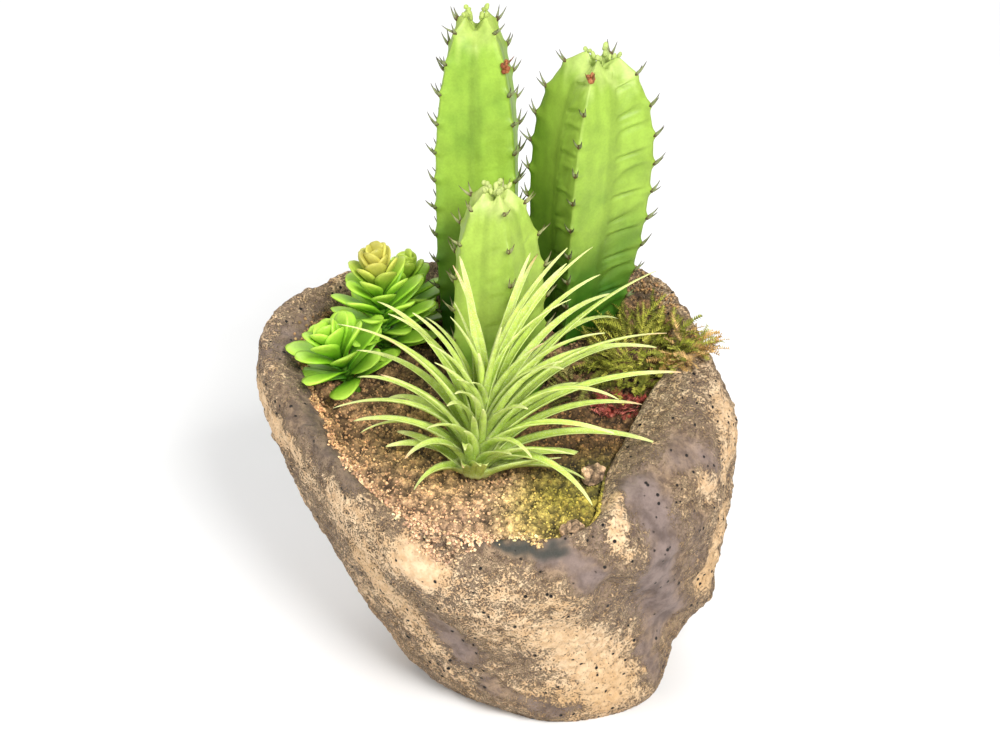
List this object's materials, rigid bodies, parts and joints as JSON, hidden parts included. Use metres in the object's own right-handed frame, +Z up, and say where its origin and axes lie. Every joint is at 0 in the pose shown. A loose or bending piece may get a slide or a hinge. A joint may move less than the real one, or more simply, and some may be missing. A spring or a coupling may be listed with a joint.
{
  "type": "artificial succulent arrangement in a rock planter",
  "caption": "Tabletop arrangement of artificial cacti, an air plant and sedum sprigs, set in sand and moss in a cast faux-rock planter.",
  "frame": {"origin": "centre of the planter's flat base, on the surface it stands on", "axes": "+Z up, -Y towards the low front of the rim, +X to the right as seen from the front"},
  "size_m": [0.1677, 0.1494, 0.2235],
  "materials": {
    "rock": "matt cast resin, dark stain dry-brushed with cream",
    "foam": "matt dry floral foam, hidden",
    "sand": "matt glued sand",
    "green_cactus": "satin moulded plastic",
    "pale_cactus": "satin moulded plastic",
    "stake": "matt moulded plastic, hidden",
    "air_leaf": "matt flocked plastic",
    "sedum_leaf": "satin moulded plastic",
    "sedum_stem": "satin moulded plastic",
    "moss": "matt dried moss",
    "straw_moss": "matt dried moss",
    "red_moss": "matt dyed moss"
  },
  "bodies": {
    "root": {"planter_rock": "rock", "foam_block": "foam", "sand_bed": "sand", "tall_cactus": "green_cactus", "broad_cactus": "green_cactus", "short_cactus": "pale_cactus", "tall_cactus_stake": "stake", "broad_cactus_stake": "stake", "short_cactus_stake": "stake", "air_plant_core": "air_leaf", "air_plant_whorl_1": "air_leaf", "air_plant_whorl_2": "air_leaf", "air_plant_whorl_3": "air_leaf", "air_plant_whorl_4": "air_leaf", "air_plant_whorl_5": "air_leaf", "air_plant_whorl_6": "air_leaf", "centre_sprig_stem": "sedum_stem", "centre_sprig_whorl_1": "sedum_leaf", "centre_sprig_whorl_2": "sedum_leaf", "centre_sprig_whorl_3": "sedum_leaf", "centre_sprig_whorl_4": "sedum_leaf", "centre_sprig_whorl_5": "sedum_leaf", "centre_sprig_whorl_6": "sedum_leaf", "centre_sprig_whorl_7": "sedum_leaf", "left_sprig_stem": "sedum_stem", "left_sprig_whorl_1": "sedum_leaf", "left_sprig_whorl_2": "sedum_leaf", "left_sprig_whorl_3": "sedum_leaf", "left_sprig_whorl_4": "sedum_leaf", "left_sprig_whorl_5": "sedum_leaf", "back_sprig_stem": "sedum_stem", "back_sprig_whorl_1": "sedum_leaf", "back_sprig_whorl_2": "sedum_leaf", "back_sprig_whorl_3": "sedum_leaf", "back_sprig_whorl_4": "sedum_leaf", "back_sprig_whorl_5": "sedum_leaf", "moss_mat": "moss", "moss_under_leaves": "moss", "straw_moss": "straw_moss", "red_moss": "red_moss", "front_grit_lump": "sand", "side_grit_lump": "sand"}
  },
  "joints": []
}
